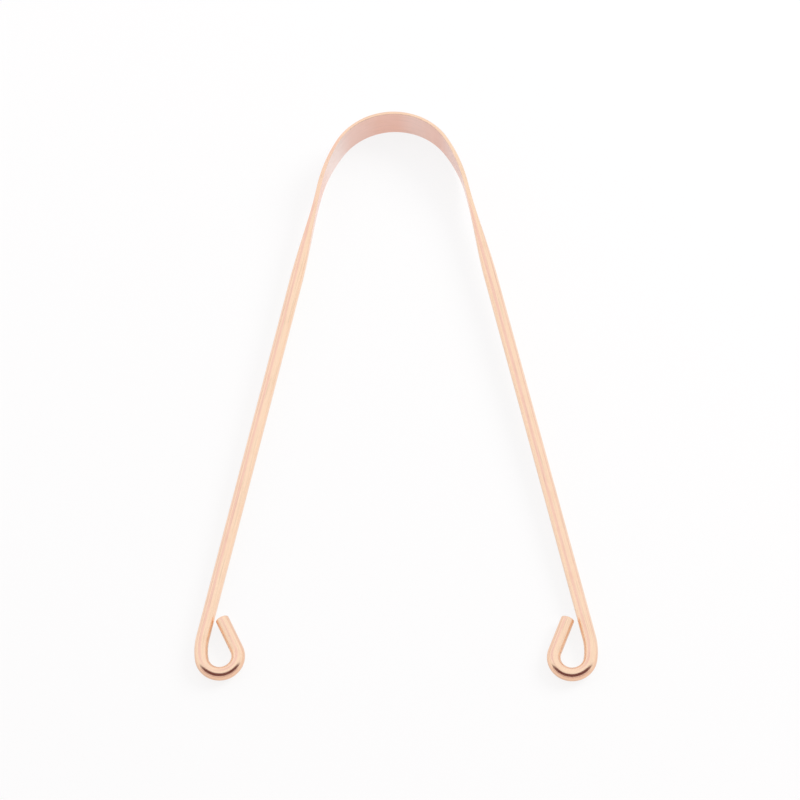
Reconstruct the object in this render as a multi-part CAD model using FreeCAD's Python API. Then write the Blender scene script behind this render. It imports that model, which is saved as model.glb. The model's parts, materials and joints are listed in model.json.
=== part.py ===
"""Tongue scraper bent from one copper rod: a flattened arch, two sprung arms and two curled eyes."""
import FreeCAD, Part
import math
import os

from FreeCAD import Vector

# Driving dimensions, in millimetres and degrees

# Stock: round rod, and the strip that its middle is rolled out to, a little thicker where it ends
ROD_DIAMETER = 3.0
STRIP_WIDTH = 8.6
STRIP_THICKNESS = 0.7
STRIP_EDGE_RADIUS = 0.1
FLANK_THICKNESS = 0.95

# Arch, measured along the centreline of the strip from its top
CROWN_RADIUS = 14.5
CROWN_HALF_TURN = 57.4
FLANK_RADIUS = 34.7
BLADE_HALF_LENGTH = 12.6
NARROWING_LENGTH = 21.5

# Arms, measured along the centreline from the end of the arch
ARM_LEAN = 12.9
NECK_LENGTH = 23.5
LEFT_ARM_LENGTH = 112.4
RIGHT_ARM_LENGTH = 114.4

# Eyes, measured on the centreline of the rod
EYE_ENTRY_RADIUS = 13.7
EYE_ENTRY_TURN = 22.2
EYE_RADIUS = 4.0
LEFT_TAIL_LEAN = 24.6
RIGHT_TAIL_LEAN = 21.4
LEFT_TAIL_LENGTH = 8.0
RIGHT_TAIL_LENGTH = 8.2
TAIL_EDGE_FILLET = 0.3

# Sections that each drawn-out piece is lofted through, and arcs round a rod section
LOFT_SECTIONS = 13
SECTION_ARCS = 8

QUARTER_TURN = 90.0
HALF_TURN = 180.0
BAR_NORMAL = Vector(0, 0, 1)
CROSS_AXIS = Vector(1, 0, 0)
ORIGIN = Vector(0, 0, 0)

rod_radius = ROD_DIAMETER / 2
half_strip_width = STRIP_WIDTH / 2
flank_turn = QUARTER_TURN - ARM_LEAN - CROWN_HALF_TURN
crown_half_length = math.radians(CROWN_HALF_TURN) * CROWN_RADIUS
arch_half_length = crown_half_length + math.radians(flank_turn) * FLANK_RADIUS


# The bar's centreline lies flat in the XY plane and always turns clockwise.
# A station on it is a point and a heading in degrees from +X.

def forward(heading):
    return Vector(math.cos(math.radians(heading)), math.sin(math.radians(heading)), 0)


def inward(heading):
    """Unit vector to the right of the heading, towards the centre of every bend."""
    return forward(heading - QUARTER_TURN)


def after_straight(station, length):
    point, heading = station
    return point + forward(heading) * length, heading


def bend_centre(station, radius):
    point, heading = station
    return point + inward(heading) * radius


def after_bend(station, radius, turn):
    heading = station[1] - turn
    return bend_centre(station, radius) - inward(heading) * radius, heading


def after_bend_length(station, radius, length):
    return after_bend(station, radius, math.degrees(length / radius))


def station_at(distance):
    """Station of the right half at a distance along the bar from the top of the arch."""
    if distance < crown_half_length:
        return after_bend_length(crown_top, CROWN_RADIUS, distance)
    if distance < arch_half_length:
        return after_bend_length(flank_start, FLANK_RADIUS, distance - crown_half_length)
    return after_straight(arm_start, distance - arch_half_length)


# Sections square to the centreline

def eased(share):
    """Share of a change that has been made: it starts and ends smoothly."""
    held = min(max(share, 0), 1)
    return held * held * (3 - 2 * held)


def section_size(distance):
    """Width, thickness and roundness: the strip narrows and thickens, then swells to round rod."""
    narrowed = eased((distance - BLADE_HALF_LENGTH) / NARROWING_LENGTH)
    thickened = eased((distance - BLADE_HALF_LENGTH) / (arch_half_length - BLADE_HALF_LENGTH))
    rounded = eased((distance - arch_half_length) / NECK_LENGTH)
    width = STRIP_WIDTH + (ROD_DIAMETER - STRIP_WIDTH) * narrowed
    flat_thickness = STRIP_THICKNESS + (FLANK_THICKNESS - STRIP_THICKNESS) * thickened
    thickness = flat_thickness + (ROD_DIAMETER - FLANK_THICKNESS) * rounded
    return width, thickness, rounded


def section_point(station, across, up):
    point, heading = station
    return point + inward(heading) * across + BAR_NORMAL * up


def corner_points(width, thickness, roundness):
    """First, middle and last point of one corner, between a rounded rectangle and an ellipse."""
    arc_half_turn = HALF_TURN / SECTION_ARCS
    square_centre = Vector(thickness / 2 - STRIP_EDGE_RADIUS, width / 2 - STRIP_EDGE_RADIUS, 0)
    points = []
    for square_angle, oval_angle in (
        (0, arc_half_turn),
        (QUARTER_TURN / 2, QUARTER_TURN / 2),
        (QUARTER_TURN, QUARTER_TURN - arc_half_turn),
    ):
        square = square_centre + forward(square_angle) * STRIP_EDGE_RADIUS
        unit = forward(oval_angle)
        oval = Vector(unit.x * thickness / 2, unit.y * width / 2, 0)
        points.append(square * (1 - roundness) + oval * roundness)
    return points


def side_edge(start, middle, end, is_flat):
    if is_flat:
        return Part.LineSegment(start, end).toShape()
    return Part.Arc(start, middle, end).toShape()


def bar_section(distance):
    """Closed outline of the bar: four corners joined by four sides."""
    station = station_at(distance)
    width, thickness, roundness = section_size(distance)
    first, middle, last = corner_points(width, thickness, roundness)
    corners = []
    for across_sign, up_sign, points in (
        (1, 1, (first, middle, last)),
        (-1, 1, (last, middle, first)),
        (-1, -1, (first, middle, last)),
        (1, -1, (last, middle, first)),
    ):
        corners.append([section_point(station, p.x * across_sign, p.y * up_sign) for p in points])
    side_middles = (
        section_point(station, 0, width / 2),
        section_point(station, -thickness / 2, 0),
        section_point(station, 0, -width / 2),
        section_point(station, thickness / 2, 0),
    )
    edges = []
    for index, (start, middle, end) in enumerate(corners):
        next_start = corners[(index + 1) % len(corners)][0]
        edges.append(Part.Arc(start, middle, end).toShape())
        edges.append(side_edge(end, side_middles[index], next_start, roundness == 0))
    return Part.Wire(edges)


def rod_face(station):
    point, heading = station
    return Part.Face(Part.Wire(Part.makeCircle(rod_radius, point, forward(heading))))


# Pieces of the bar

def drawn_piece(start, end):
    """Stretch of the bar between two distances along it, lofted through its changing section."""
    steps = LOFT_SECTIONS - 1
    distances = [start + (end - start) * step / steps for step in range(LOFT_SECTIONS)]
    return Part.makeLoft([bar_section(distance) for distance in distances], True, False)


def bent_rod(station, radius, turn):
    return rod_face(station).revolve(bend_centre(station, radius), BAR_NORMAL, -turn)


def straight_rod(station, length):
    return rod_face(station).extrude(forward(station[1]) * length)


def make_scraping_arch():
    """Full-width strip across the top of the arch."""
    half_turn = math.degrees(BLADE_HALF_LENGTH / CROWN_RADIUS)
    middle = Part.Face(bar_section(0))
    centre = bend_centre(crown_top, CROWN_RADIUS)
    start = middle.rotated(centre, BAR_NORMAL, half_turn)
    return start.revolve(centre, BAR_NORMAL, -half_turn * 2)


def make_eye(eye_start, loop_start, loop_turn):
    entry = bent_rod(eye_start, EYE_ENTRY_RADIUS, EYE_ENTRY_TURN)
    return entry.fuse(bent_rod(loop_start, EYE_RADIUS, loop_turn))


def make_tail(tail_start, length):
    """Short straight end, cut square with its edge eased."""
    tail = straight_rod(tail_start, length)
    tip = after_straight(tail_start, length)[0]
    tip_edge = min(tail.Edges, key=lambda edge: edge.CenterOfMass.distanceToPoint(tip))
    return tail.makeFillet(TAIL_EDGE_FILLET, [tip_edge])


# The right half of the bar; the left half is its mirror image with its own lengths
crown_top = (ORIGIN, 0)
flank_start = after_bend(crown_top, CROWN_RADIUS, CROWN_HALF_TURN)
arm_start = after_bend(flank_start, FLANK_RADIUS, flank_turn)
rod_start = after_straight(arm_start, NECK_LENGTH)

shapes = {"scraping_arch": make_scraping_arch()}
eye_bottoms = []
for side, arm_length, tail_lean, tail_length in (
    ("left", LEFT_ARM_LENGTH, LEFT_TAIL_LEAN, LEFT_TAIL_LENGTH),
    ("right", RIGHT_ARM_LENGTH, RIGHT_TAIL_LEAN, RIGHT_TAIL_LENGTH),
):
    eye_start = after_straight(arm_start, arm_length)
    loop_start = after_bend(eye_start, EYE_ENTRY_RADIUS, EYE_ENTRY_TURN)
    loop_turn = HALF_TURN + ARM_LEAN + tail_lean - EYE_ENTRY_TURN
    tail_start = after_bend(loop_start, EYE_RADIUS, loop_turn)
    half = {
        "spring_strip": drawn_piece(BLADE_HALF_LENGTH, arch_half_length),
        "neck": drawn_piece(arch_half_length, arch_half_length + NECK_LENGTH),
        "arm": straight_rod(rod_start, arm_length - NECK_LENGTH),
        "eye": make_eye(eye_start, loop_start, loop_turn),
        "eye_tail": make_tail(tail_start, tail_length),
    }
    for name, shape in half.items():
        shapes[side + "_" + name] = shape if side == "right" else shape.mirror(ORIGIN, CROSS_AXIS)
    eye_bottoms.append(bend_centre(loop_start, EYE_RADIUS).y - EYE_RADIUS)

# Lay the bar down: it rests on the lower edge of the strip, at both ends of the blade, and on an eye
reach = station_at(BLADE_HALF_LENGTH)[0].y - min(eye_bottoms)
span = math.hypot(reach, half_strip_width)
rest_tilt = math.degrees(math.atan2(half_strip_width, reach) - math.asin(rod_radius / span))
for shape in shapes.values():
    shape.rotate(ORIGIN, CROSS_AXIS, rest_tilt)
box = Part.makeCompound(list(shapes.values())).optimalBoundingBox(False)
to_origin = Vector(-box.Center.x, -box.Center.y, -box.ZMin)

os.makedirs("parts", exist_ok=True)
for name, shape in shapes.items():
    shape.translate(to_origin)
    shape.exportStep("parts/" + name + ".step")
    print(name, "volume", round(shape.Volume, 2), "valid", shape.isValid())
print("rest tilt", round(rest_tilt, 4), "length", box.YLength, "width", box.XLength, "height", box.ZLength)
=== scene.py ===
"""Looks of the copper tongue scraper: its bar, copper finish, light and camera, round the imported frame."""

import json
import math

import bpy
import numpy as np
from mathutils import Matrix, Vector


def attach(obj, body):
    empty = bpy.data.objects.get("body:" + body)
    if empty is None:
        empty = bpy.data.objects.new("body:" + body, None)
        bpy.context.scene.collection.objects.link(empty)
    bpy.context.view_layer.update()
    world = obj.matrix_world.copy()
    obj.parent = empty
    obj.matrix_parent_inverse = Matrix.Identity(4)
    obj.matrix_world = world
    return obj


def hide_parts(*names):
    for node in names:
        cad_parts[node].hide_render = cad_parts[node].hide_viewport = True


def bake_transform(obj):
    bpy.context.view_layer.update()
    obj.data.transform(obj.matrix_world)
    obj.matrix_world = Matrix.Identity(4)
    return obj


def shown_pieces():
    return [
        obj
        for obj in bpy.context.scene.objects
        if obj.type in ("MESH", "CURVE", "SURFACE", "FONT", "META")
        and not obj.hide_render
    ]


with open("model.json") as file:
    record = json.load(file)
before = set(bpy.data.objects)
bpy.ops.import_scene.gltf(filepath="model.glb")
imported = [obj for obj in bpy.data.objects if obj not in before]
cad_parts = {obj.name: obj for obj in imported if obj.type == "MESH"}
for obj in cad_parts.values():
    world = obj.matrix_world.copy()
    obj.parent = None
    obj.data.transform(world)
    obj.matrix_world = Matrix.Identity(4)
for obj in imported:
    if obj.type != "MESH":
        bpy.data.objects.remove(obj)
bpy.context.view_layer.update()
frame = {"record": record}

MM = 0.001

# Stock: round rod, and the strip that its middle is rolled out to, a little thicker where it ends
ROD_DIAMETER = 3.0 * MM
STRIP_WIDTH = 8.6 * MM
STRIP_THICKNESS = 0.7 * MM
STRIP_EDGE_RADIUS = 0.1 * MM
FLANK_THICKNESS = 0.95 * MM

# Centreline of the bar: arch, arms and eyes
CROWN_RADIUS = 14.5 * MM
CROWN_HALF_TURN = math.radians(57.4)
FLANK_RADIUS = 34.7 * MM
BLADE_HALF_LENGTH = 12.6 * MM
NARROWING_LENGTH = 21.5 * MM
ARM_LEAN = math.radians(12.9)
NECK_LENGTH = 23.5 * MM
ARM_LENGTHS = {"left": 112.4 * MM, "right": 114.4 * MM}
EYE_ENTRY_RADIUS = 13.7 * MM
EYE_ENTRY_TURN = math.radians(22.2)
EYE_RADIUS = 4.0 * MM
TAIL_LEANS = {"left": math.radians(24.6), "right": math.radians(21.4)}
TAIL_LENGTHS = {"left": 8.0 * MM, "right": 8.2 * MM}
TAIL_EDGE_FILLET = 0.3 * MM

# Mesh spacing along the bar, and segments round its section
FINE_STEP = 0.2 * MM
COARSE_STEP = 1.0 * MM
SLOPE_STEP = 0.01 * MM
CORNER_SEGMENTS = 6
EDGE_SEGMENTS = 8
FACE_SEGMENTS = 16
FILLET_SEGMENTS = 5

# Finish: how squarely a surface faces sideways where satin or an eye's flanks (raw inside, painted shade
# outside) start, and the flanks' fade
SATIN_START_SHARE = 0.8
FLANK_START_SHARE = 0.45
FLANK_FADE = 6.0 * MM

QUARTER_TURN = math.pi / 2
SECTION_ARC = QUARTER_TURN / 2

flank_turn = QUARTER_TURN - ARM_LEAN - CROWN_HALF_TURN
crown_half_length = CROWN_HALF_TURN * CROWN_RADIUS
arch_half_length = crown_half_length + flank_turn * FLANK_RADIUS
neck_end = arch_half_length + NECK_LENGTH

# The bar's own axes come from the frame: its lower edge at the top of the arch, and its normal
lower_edge = next(m for m in frame["record"]["mounts"] if m["name"] == "arch_lower_edge")
bar_normal = -Vector(lower_edge["axis"])
bar_right = Vector((1, 0, 0))
bar_forward = bar_normal.cross(bar_right)
crown_top = Vector(lower_edge["pos_m"]) + bar_normal * (STRIP_WIDTH / 2)
bar_axes = np.array([bar_right, bar_forward, bar_normal])


# Centreline in the bar's plane, as runs of a length and a radius that turn clockwise from +X
RUNS_BEFORE_EYE = 3


def half_runs(side):
    """Runs of one half of the bar, from the top of the arch to the cut end."""
    loop_turn = 2 * QUARTER_TURN + ARM_LEAN + TAIL_LEANS[side] - EYE_ENTRY_TURN
    return [
        (crown_half_length, CROWN_RADIUS),
        (arch_half_length - crown_half_length, FLANK_RADIUS),
        (ARM_LENGTHS[side], None),
        (EYE_ENTRY_TURN * EYE_ENTRY_RADIUS, EYE_ENTRY_RADIUS),
        (loop_turn * EYE_RADIUS, EYE_RADIUS),
        (TAIL_LENGTHS[side], None),
    ]


def forward(heading):
    return np.stack([np.cos(heading), np.sin(heading)], axis=-1)


def inward(heading):
    """Unit vectors to the right of the headings, towards the centre of every bend."""
    return forward(heading - QUARTER_TURN)


def stations(runs, distances):
    """Points and headings at distances along the runs; a distance below 0 is on the other half."""
    points = np.zeros((len(distances), 2))
    headings = np.zeros(len(distances))
    start, start_point, start_heading = 0.0, np.zeros(2), 0.0
    for index, (length, radius) in enumerate(runs):
        after = distances >= start if index else np.ones(len(distances), bool)
        gone = np.append(distances[after] - start, length)
        if radius is None:
            turned = np.full(len(gone), start_heading)
            reached = start_point + gone[:, None] * forward(turned)
        else:
            turned = start_heading - gone / radius
            reached = start_point + (inward(start_heading) - inward(turned)) * radius
        points[after] = reached[:-1]
        headings[after] = turned[:-1]
        start, start_point, start_heading = start + length, reached[-1], turned[-1]
    return points, headings


# Sections square to the centreline

def eased(share):
    held = np.clip(share, 0, 1)
    return held * held * (3 - 2 * held)


def section_ring():
    """Points round a section: places as shares of its flats, corner directions and angles on an oval."""
    shares, directions, angles = [], [], []
    corner_steps = np.linspace(0, QUARTER_TURN, CORNER_SEGMENTS, endpoint=False)
    for quarter, (across, up) in enumerate(((1, 1), (-1, 1), (-1, -1), (1, -1))):
        turn = quarter * QUARTER_TURN
        for step in corner_steps:
            shares.append((across, up))
            directions.append(forward(turn + step))
            angles.append(turn + SECTION_ARC / 2 + step * SECTION_ARC / QUARTER_TURN)
        side_segments = FACE_SEGMENTS if quarter % 2 else EDGE_SEGMENTS
        for step in range(side_segments):
            run = 1 - 2 * step / side_segments
            shares.append((across, up * run) if quarter % 2 else (across * run, up))
            directions.append(forward(turn + QUARTER_TURN))
            angles.append(turn + QUARTER_TURN + SECTION_ARC * (step / side_segments - 1 / 2))
    return np.array(shares), np.array(directions), np.array(angles)


ring_shares, ring_directions, ring_angles = section_ring()


def rounded_at(distances):
    """Share of the change from strip to round rod."""
    return eased((np.abs(distances) - arch_half_length) / NECK_LENGTH)


def sections(distances):
    """Outline points (across, up) of the sections at distances along the bar, and their normals."""
    narrowed = eased((np.abs(distances) - BLADE_HALF_LENGTH) / NARROWING_LENGTH)
    flank_share = (np.abs(distances) - BLADE_HALF_LENGTH) / (arch_half_length - BLADE_HALF_LENGTH)
    thickened = (FLANK_THICKNESS - STRIP_THICKNESS) * eased(flank_share)
    rounded = rounded_at(distances)
    width = STRIP_WIDTH + (ROD_DIAMETER - STRIP_WIDTH) * narrowed
    thickness = STRIP_THICKNESS + thickened + (ROD_DIAMETER - FLANK_THICKNESS) * rounded
    half = np.stack([thickness, width], axis=-1)[:, None, :] / 2
    square = ring_shares * (half - STRIP_EDGE_RADIUS) + ring_directions * STRIP_EDGE_RADIUS
    oval = forward(ring_angles) * half
    oval_normals = forward(ring_angles) / half
    oval_normals /= np.linalg.norm(oval_normals, axis=-1, keepdims=True)
    mix = rounded[:, None, None]
    outline = square * (1 - mix) + oval * mix
    normals = ring_directions * (1 - mix) + oval_normals * mix
    normals /= np.linalg.norm(normals, axis=-1, keepdims=True)
    return outline, normals


# Meshes of the bar

def ring_places(start, end, step, tip_fillet):
    """Distances of a piece's rings, and how far those round its tip lean over the end."""
    tip = end - tip_fillet
    count = max(2, round((tip - start) / step) + 1)
    tip_leans = np.linspace(0, QUARTER_TURN, FILLET_SEGMENTS + 1)[1:] if tip_fillet else np.zeros(0)
    distances = np.append(np.linspace(start, tip, count), tip + tip_fillet * np.sin(tip_leans))
    return distances, np.append(np.zeros(count), tip_leans)


def swept_bar(runs, distances, leans, tip_fillet):
    """Rings of points and normals in the bar's axes, and each point's place in the straight stock."""
    outline, flat_normals = sections(distances)
    slope = (sections(distances + SLOPE_STEP)[0] - sections(distances - SLOPE_STEP)[0]) / (2 * SLOPE_STEP)
    outline = outline - flat_normals * (tip_fillet * (1 - np.cos(leans)))[:, None, None]
    outwards = np.cos(leans)[:, None]
    onwards = np.sin(leans)[:, None] - outwards * (slope * flat_normals).sum(axis=-1)
    points, headings = stations(runs, distances)
    ahead = forward(headings)[:, None, :]
    sideways = inward(headings)[:, None, :]
    places = np.empty(outline.shape[:2] + (3,))
    places[..., :2] = points[:, None, :] + sideways * outline[..., :1]
    places[..., 2] = outline[..., 1]
    normals = np.empty_like(places)
    normals[..., :2] = sideways * (flat_normals[..., 0] * outwards)[..., None] + ahead * onwards[..., None]
    normals[..., 2] = flat_normals[..., 1] * outwards
    normals /= np.linalg.norm(normals, axis=-1, keepdims=True)
    stock = np.concatenate([outline, np.broadcast_to(distances[:, None, None], outline[..., :1].shape)], -1)
    return places, normals, stock


def finish_shares(runs, distances):
    """Shares of satin, on the strip's faces, and of painted shade on the outer and raw finish on the inner
    flanks of the eyes.
    """
    facing = sections(distances)[1][..., 0]
    satin = eased((np.abs(facing) - SATIN_START_SHARE) / (1 - SATIN_START_SHARE))
    satin *= 1 - rounded_at(distances)[:, None]
    eye_start = sum(length for length, radius in runs[:RUNS_BEFORE_EYE])
    # Painted shade: the outer flanks of the eyes, darkened later towards the tarnish colour
    painted_shade = eased((-facing - FLANK_START_SHARE) / (1 - FLANK_START_SHARE))
    painted_shade *= eased((distances - eye_start) / FLANK_FADE)[:, None]
    raw = eased((facing - FLANK_START_SHARE) / (1 - FLANK_START_SHARE))
    raw *= eased((distances - eye_start) / FLANK_FADE + 1)[:, None]
    return satin, painted_shade, raw


def bar_faces(rings, around, side):
    """Quads between the rings, and a cap at each end, wound to face outwards."""
    ring_index = np.arange(rings * around).reshape(rings, around)
    next_index = np.roll(ring_index, -1, axis=1)
    quads = np.stack([ring_index[:-1], ring_index[1:], next_index[1:], next_index[:-1]], axis=-1)
    faces = quads.reshape(-1, 4).tolist() + [ring_index[0].tolist(), ring_index[-1][::-1].tolist()]
    return [face[::-1] for face in faces] if side == "left" else faces


def add_attribute(mesh, name, kind, domain, field, values):
    mesh.attributes.new(name, kind, domain).data.foreach_set(field, np.ravel(values))


def bar_piece(name, side, start, end, step, tip_fillet=0.0):
    """Closed mesh of one stretch of the bar, with exact normals so that its joins don't show."""
    runs = half_runs(side)
    distances, leans = ring_places(start, end, step, tip_fillet)
    places, normals, stock = swept_bar(runs, distances, leans, tip_fillet)
    headings = stations(runs, distances)[1]
    cap_normals = np.zeros((2, 3))
    cap_normals[:, :2] = -forward(headings[0]), forward(headings[-1])
    if side == "left":
        for vectors in (places, normals, cap_normals):
            vectors[..., 0] *= -1
        stock[..., 2] *= -1
    rings, around = places.shape[:2]
    faces = bar_faces(rings, around, side)
    mesh = bpy.data.meshes.new(name)
    mesh.from_pydata(places.reshape(-1, 3) @ bar_axes + np.array(crown_top), [], faces)
    side_normals = normals.reshape(-1, 3)[np.ravel(faces[:-len(cap_normals)])]
    corner_normals = np.concatenate([side_normals, np.repeat(cap_normals, around, axis=0)])
    mesh.polygons.foreach_set("use_smooth", [True] * len(faces))
    mesh.normals_split_custom_set(corner_normals @ bar_axes)
    satin, painted_shade, raw = finish_shares(runs, distances)
    is_cap = np.arange(len(faces)) >= len(faces) - len(cap_normals)
    add_attribute(mesh, "stock", "FLOAT_VECTOR", "POINT", "vector", stock)
    add_attribute(mesh, "satin", "FLOAT", "POINT", "value", satin)
    add_attribute(mesh, "painted_shade", "FLOAT", "POINT", "value", painted_shade)
    add_attribute(mesh, "raw", "FLOAT", "POINT", "value", raw)
    add_attribute(mesh, "cut", "FLOAT", "FACE", "value", is_cap.astype(float))
    piece = bpy.data.objects.new(name, mesh)
    bpy.context.scene.collection.objects.link(piece)
    return piece


def world_point(side, distance):
    point = stations(half_runs(side), np.array([distance]))[0][0]
    sign = -1 if side == "left" else 1
    return crown_top + bar_right * (sign * point[0]) + bar_forward * point[1]


# Pieces of the bar, each in place of its node
arch = bar_piece("arch_blade", "right", -BLADE_HALF_LENGTH, BLADE_HALF_LENGTH, FINE_STEP)
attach(arch, "arch")
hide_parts("scraping_arch")
for side in ("left", "right"):
    handle = side + "_handle"
    run_ends = np.cumsum([length for length, radius in half_runs(side)])
    eye_start, _, tail_start, tail_end = run_ends[RUNS_BEFORE_EYE - 1:]
    spring = bar_piece(side + "_spring", side, BLADE_HALF_LENGTH, arch_half_length, FINE_STEP)
    spring_ends = world_point(side, BLADE_HALF_LENGTH), world_point(side, arch_half_length)
    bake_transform(spring)
    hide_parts(side + "_spring_strip")
    for name, start, end, step, fillet in (
        ("neck", arch_half_length, neck_end, FINE_STEP, 0),
        ("arm", neck_end, eye_start, COARSE_STEP, 0),
        ("eye", eye_start, tail_start, FINE_STEP, 0),
        ("eye_tail", tail_start, tail_end, COARSE_STEP, TAIL_EDGE_FILLET),
    ):
        piece = bar_piece(side + "_" + name + "_bar", side, start, end, step, fillet)
        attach(piece, handle)
        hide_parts(side + "_" + name)


# Copper: polished rod and strip edges, satin strip faces with bands of painted sheen, raw cut ends and inner
# eye flanks, painted shade on outer eye flanks
POLISHED_COLOR = (0.985, 0.72, 0.525, 1)
SATIN_COLOR = (0.955, 0.616, 0.508, 1)
PAINTED_SHEEN_COLOR = (0.955, 0.784, 0.725, 1)
TARNISH_AND_SHADE_COLOR = (0.86, 0.5, 0.31, 1)
POLISHED_ROUGHNESS = 0.21
SATIN_ROUGHNESS = 0.32
RAW_ROUGHNESS = 0.5
COAT_WEIGHT = 0.5
COAT_ROUGHNESS = 0.2

# Bands of painted sheen across the strip, whiter patches in place of bright reflections: noise along the
# bar, and the range of it that shows
PAINTED_SHEEN_LENGTH = 16.0 * MM
PAINTED_SHEEN_SEED = 562.48
PAINTED_SHEEN_DETAIL = 1
PAINTED_SHEEN_RANGE = (0.38, 0.77)

# Fine lines drawn along the bar, and how much they shade, roughen and emboss it
GRAIN_WIDTH = 0.18 * MM
GRAIN_LENGTH = 9.0 * MM
GRAIN_DETAIL = 3
GRAIN_MIDDLE = 0.5
GRAIN_LINES = (0.3, 0.46)
GRAIN_SHADE = 0.12
GRAIN_ROUGHNESS = 0.12
GRAIN_DEPTH = 0.0015 * MM

# Faint tarnish in blotches, and painted shade that darkens the outer flanks of the eyes
MOTTLE_SIZE = 2.5 * MM
MOTTLE_DETAIL = 4
MOTTLE_RANGE = (0.5, 0.85)
MOTTLE_SHARE = 0.2
PAINTED_SHADE_SHARE = 0.6

# Sockets of a Mix node, which has a set of them for each kind of data
MIX_SHARE = 0
MIX_VALUE_A = 2
MIX_VALUE_B = 3
MIX_VALUE_RESULT = 0
MIX_COLOR_A = 6
MIX_COLOR_B = 7
MIX_COLOR_RESULT = 2


def add_node(tree, kind, inputs=None, **settings):
    """New node with its settings; each input is a plain value or another node's output."""
    made = tree.nodes.new(kind)
    for name, value in settings.items():
        setattr(made, name, value)
    for name, value in (inputs or {}).items():
        if isinstance(value, bpy.types.NodeSocket):
            tree.links.new(value, made.inputs[name])
        else:
            made.inputs[name].default_value = value
    return made


def math_of(tree, operation, *values):
    return add_node(tree, "ShaderNodeMath", dict(enumerate(values)), operation=operation).outputs[0]


def attribute(tree, name):
    return add_node(tree, "ShaderNodeAttribute", attribute_name=name).outputs


def color_mix(tree, share, first, second, blend="MIX"):
    inputs = {MIX_SHARE: share, MIX_COLOR_A: first, MIX_COLOR_B: second}
    mixed = add_node(tree, "ShaderNodeMix", inputs, data_type="RGBA", blend_type=blend)
    return mixed.outputs[MIX_COLOR_RESULT]


def value_mix(tree, share, first, second):
    inputs = {MIX_SHARE: share, MIX_VALUE_A: first, MIX_VALUE_B: second}
    return add_node(tree, "ShaderNodeMix", inputs).outputs[MIX_VALUE_RESULT]


def ranged(tree, value, limits):
    low, high = limits
    inputs = {"Value": value, "From Min": low, "From Max": high}
    return add_node(tree, "ShaderNodeMapRange", inputs).outputs["Result"]


def painted_sheen_share(tree, stock):
    # Painted sheen: whiter bands along the strip in place of bright reflections
    along = add_node(tree, "ShaderNodeSeparateXYZ", {0: stock}).outputs["Z"]
    place = math_of(tree, "MULTIPLY_ADD", along, 1 / PAINTED_SHEEN_LENGTH, PAINTED_SHEEN_SEED)
    inputs = {"W": place, "Scale": 1, "Detail": PAINTED_SHEEN_DETAIL}
    noise = add_node(tree, "ShaderNodeTexNoise", inputs, noise_dimensions="1D")
    return ranged(tree, noise.outputs[0], PAINTED_SHEEN_RANGE)


def grain_height(tree, stock):
    """Noise drawn out along the bar."""
    fineness = (1 / GRAIN_WIDTH, 1 / GRAIN_WIDTH, 1 / GRAIN_LENGTH)
    drawn = add_node(tree, "ShaderNodeVectorMath", {0: stock, 1: fineness}, operation="MULTIPLY")
    inputs = {"Vector": drawn.outputs[0], "Scale": 1, "Detail": GRAIN_DETAIL}
    noise = add_node(tree, "ShaderNodeTexNoise", inputs)
    return noise.outputs[0]


def tarnish_and_shade_share(tree, stock):
    inputs = {"Vector": stock, "Scale": 1 / MOTTLE_SIZE, "Detail": MOTTLE_DETAIL}
    noise = add_node(tree, "ShaderNodeTexNoise", inputs)
    blotches = math_of(tree, "MULTIPLY", ranged(tree, noise.outputs[0], MOTTLE_RANGE), MOTTLE_SHARE)
    # Painted shade on the eyes' outer flanks, joined with the real tarnish blotches
    painted_shade = math_of(tree, "MULTIPLY", attribute(tree, "painted_shade")["Fac"], PAINTED_SHADE_SHARE)
    return math_of(tree, "MAXIMUM", blotches, painted_shade)


def copper_material():
    material = bpy.data.materials.new("copper")
    material.use_nodes = True
    tree = material.node_tree
    stock = attribute(tree, "stock")["Vector"]
    satin = attribute(tree, "satin")["Fac"]
    raw = math_of(tree, "MAXIMUM", attribute(tree, "cut")["Fac"], attribute(tree, "raw")["Fac"])
    grain = grain_height(tree, stock)
    # Satin faces whiter in bands: painted sheen in place of bright reflections
    face = color_mix(tree, painted_sheen_share(tree, stock), SATIN_COLOR, PAINTED_SHEEN_COLOR)
    clean = color_mix(tree, satin, POLISHED_COLOR, face)
    # Tarnish blotches and the painted shade of the eyes' outer flanks, in one colour
    tarnished_and_shaded = color_mix(tree, tarnish_and_shade_share(tree, stock), clean, TARNISH_AND_SHADE_COLOR)
    color = color_mix(tree, GRAIN_SHADE, tarnished_and_shaded, ranged(tree, grain, GRAIN_LINES), "MULTIPLY")
    smooth = value_mix(tree, satin, POLISHED_ROUGHNESS, SATIN_ROUGHNESS)
    uneven = math_of(tree, "SUBTRACT", grain, GRAIN_MIDDLE)
    lined = math_of(tree, "MULTIPLY_ADD", uneven, GRAIN_ROUGHNESS, smooth)
    roughness = value_mix(tree, raw, lined, RAW_ROUGHNESS)
    bump = add_node(tree, "ShaderNodeBump", {"Height": grain, "Distance": GRAIN_DEPTH})
    shader = tree.nodes["Principled BSDF"]
    tree.links.new(color, shader.inputs["Base Color"])
    tree.links.new(roughness, shader.inputs["Roughness"])
    tree.links.new(bump.outputs[0], shader.inputs["Normal"])
    shader.inputs["Metallic"].default_value = 1
    shader.inputs["Coat Weight"].default_value = COAT_WEIGHT
    shader.inputs["Coat Roughness"].default_value = COAT_ROUGHNESS
    return material


bar_copper = copper_material()
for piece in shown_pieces():
    piece.data.materials.append(bar_copper)


# Floor of white paper, and how much of what the camera and the metal see of it stays white in shadow
FLOOR_SIZE = 3.0
FLOOR_COLOR = (0.95, 0.95, 0.95, 1)
WHITE = (1, 1, 1, 1)
SEEN_WHITE_SHARE = 0.85
GLOSS_WHITE_SHARE = 0.55

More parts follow.
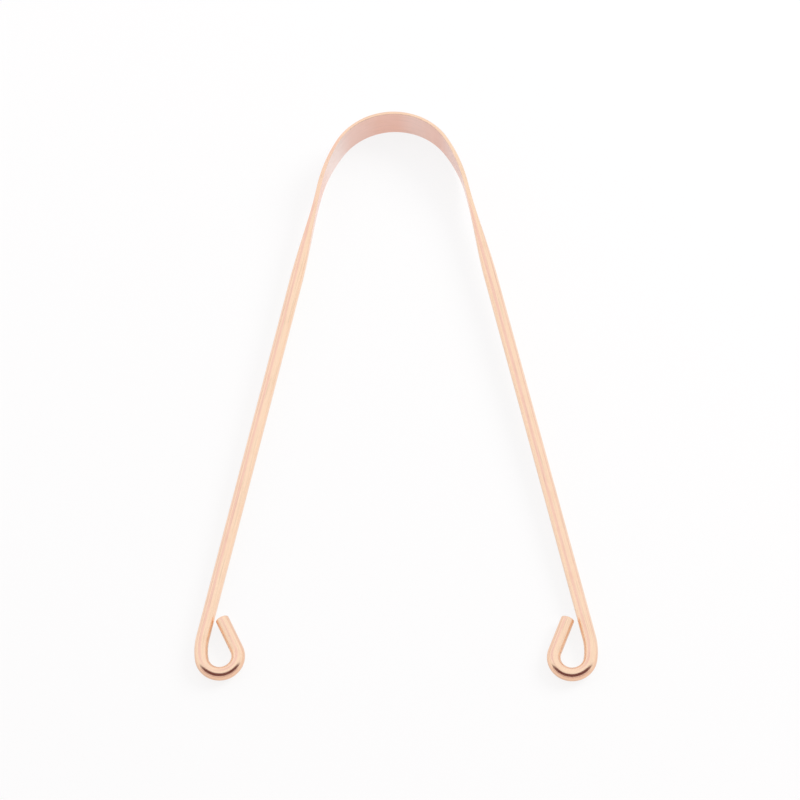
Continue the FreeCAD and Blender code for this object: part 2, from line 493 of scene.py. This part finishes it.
# Cards that only the metal shows: distance, mesh steps, fade in degrees, and bounces that see them white
CARD_DISTANCE = 0.8
CARD_STEPS = 48
CARD_FADE = 12
SECOND_BOUNCE = 2
NO_BOUNCE = 100

# Each card: azimuths from -Y towards +X and elevations, in degrees, colour, first bounce that sees white
CARDS = {
    "camera_side": ((-84, 82), (15, 74), (0.16, 0.065, 0.068, 1), SECOND_BOUNCE),
    "front_wall": ((-75, 65), (-12, 22), (0.7, 0.54, 0.58, 1), NO_BOUNCE),
    "upper_left": ((-176, -94), (30, 78), (0.94, 0.82, 0.91, 1), NO_BOUNCE),
    "far_wall": ((106, 254), (-12, 20), (0.86, 0.73, 0.8, 1), NO_BOUNCE),
}

# Soft lamp on the right, and its way up from the object
KEY_SIZE = 0.5
KEY_WATTS = 6.0
KEY_DISTANCE = 1.0
KEY_DIRECTION = Vector((0.75, 0.45, 0.55)).normalized()

# Camera of the photograph, aimed at a point of the bar's plane given from the top of the arch
PHOTO_PIXELS = 800
FOCAL_PIXELS = 4467
CAMERA_ELEVATION = math.radians(63.213)
CAMERA_AZIMUTH = math.radians(5.292)
CAMERA_ROLL = math.radians(-6.118)
CAMERA_DISTANCE = 996.1 * MM
CAMERA_TARGET = Vector((1.483 * MM, -71.686 * MM, 0))


def stage_material(name):
    """Material with an empty surface, its node tree and the socket for that surface."""
    material = bpy.data.materials.new(name)
    material.use_nodes = True
    tree = material.node_tree
    tree.nodes.remove(tree.nodes["Principled BSDF"])
    return material, tree, tree.nodes["Material Output"].inputs["Surface"]


def stage_mesh(name, points, faces, material):
    mesh = bpy.data.meshes.new(name)
    mesh.from_pydata(points, [], faces)
    mesh.materials.append(material)
    made = bpy.data.objects.new(name, mesh)
    bpy.context.scene.collection.objects.link(made)
    return made


def make_floor():
    """White paper that keeps the object's shadow in its own share."""
    material, tree, surface = stage_material("floor_paper")
    paper = add_node(tree, "ShaderNodeBsdfDiffuse", {"Color": FLOOR_COLOR})
    white = add_node(tree, "ShaderNodeEmission", {"Color": WHITE, "Strength": 1})
    path = add_node(tree, "ShaderNodeLightPath").outputs
    seen = math_of(tree, "MAXIMUM", path["Is Camera Ray"], path["Is Transmission Ray"])
    seen_share = math_of(tree, "MULTIPLY", seen, SEEN_WHITE_SHARE)
    gloss_share = math_of(tree, "MULTIPLY", path["Is Glossy Ray"], GLOSS_WHITE_SHARE)
    share = math_of(tree, "MAXIMUM", seen_share, gloss_share)
    mixed = add_node(tree, "ShaderNodeMixShader", {0: share, 1: paper.outputs[0], 2: white.outputs[0]})
    tree.links.new(mixed.outputs[0], surface)
    half = FLOOR_SIZE / 2
    corners = [(-half, -half, 0), (half, -half, 0), (half, half, 0), (-half, half, 0)]
    stage_mesh("floor", corners, [(0, 1, 2, 3)], material)


def make_card(name, azimuths, elevations, color, white_bounce):
    """Curved card round the object that the camera doesn't see, fading to white at its edges."""
    material, tree, surface = stage_material(name)
    bounces = add_node(tree, "ShaderNodeLightPath").outputs["Glossy Depth"]
    is_colored = math_of(tree, "LESS_THAN", bounces, white_bounce)
    share = math_of(tree, "MULTIPLY", attribute(tree, "shown")["Fac"], is_colored)
    shown = color_mix(tree, share, WHITE, color)
    glow = add_node(tree, "ShaderNodeEmission", {"Color": shown, "Strength": 1})
    tree.links.new(glow.outputs[0], surface)
    points, faces, shares = [], [], []
    for elevation in np.linspace(*elevations, CARD_STEPS):
        for azimuth in np.linspace(*azimuths, CARD_STEPS):
            reach = CARD_DISTANCE * math.cos(math.radians(elevation))
            height = CARD_DISTANCE * math.sin(math.radians(elevation))
            aside = math.radians(azimuth)
            points.append((reach * math.sin(aside), -reach * math.cos(aside), height))
            inset = np.abs(np.subtract(azimuths + elevations, (azimuth, azimuth, elevation, elevation)))
            shares.append(eased(inset.min() / CARD_FADE))
    for row in range(CARD_STEPS - 1):
        for column in range(CARD_STEPS - 1):
            corner = row * CARD_STEPS + column
            faces.append((corner, corner + CARD_STEPS, corner + CARD_STEPS + 1, corner + 1))
    card = stage_mesh(name, points, faces, material)
    add_attribute(card.data, "shown", "FLOAT", "POINT", "value", shares)
    card.visible_camera = False


def make_key():
    lamp = bpy.data.lights.new("key", "AREA")
    lamp.shape = "DISK"
    lamp.size = KEY_SIZE
    lamp.energy = KEY_WATTS
    key = bpy.data.objects.new("key", lamp)
    key.visible_glossy = False
    facing = KEY_DIRECTION.to_track_quat("Z", "Y").to_matrix().to_4x4()
    key.matrix_world = Matrix.Translation(KEY_DIRECTION * KEY_DISTANCE) @ facing
    bpy.context.scene.collection.objects.link(key)


def make_world():
    world = bpy.data.worlds.new("studio")
    world.use_nodes = True
    world.node_tree.nodes["Background"].inputs["Color"].default_value = WHITE
    bpy.context.scene.world = world


def make_camera():
    level = Vector((math.cos(CAMERA_AZIMUTH), math.sin(CAMERA_AZIMUTH), 0))
    towards = Vector((math.sin(CAMERA_AZIMUTH), -math.cos(CAMERA_AZIMUTH), 0))
    back = towards * math.cos(CAMERA_ELEVATION)
    back.z = math.sin(CAMERA_ELEVATION)
    upright = back.cross(level)
    right = level * math.cos(CAMERA_ROLL) + upright * math.sin(CAMERA_ROLL)
    facing = Matrix((right, back.cross(right), back)).transposed().to_4x4()
    camera = bpy.data.objects.new("camera", bpy.data.cameras.new("camera"))
    camera.data.lens = camera.data.sensor_width * FOCAL_PIXELS / PHOTO_PIXELS
    place = crown_top + CAMERA_TARGET + back * CAMERA_DISTANCE
    camera.matrix_world = Matrix.Translation(place) @ facing
    bpy.context.scene.collection.objects.link(camera)
    bpy.context.scene.camera = camera


make_floor()
for card_name, card in CARDS.items():
    make_card(card_name, *card)
make_key()
make_world()
make_camera()
bpy.context.scene.view_settings.view_transform = "Standard"
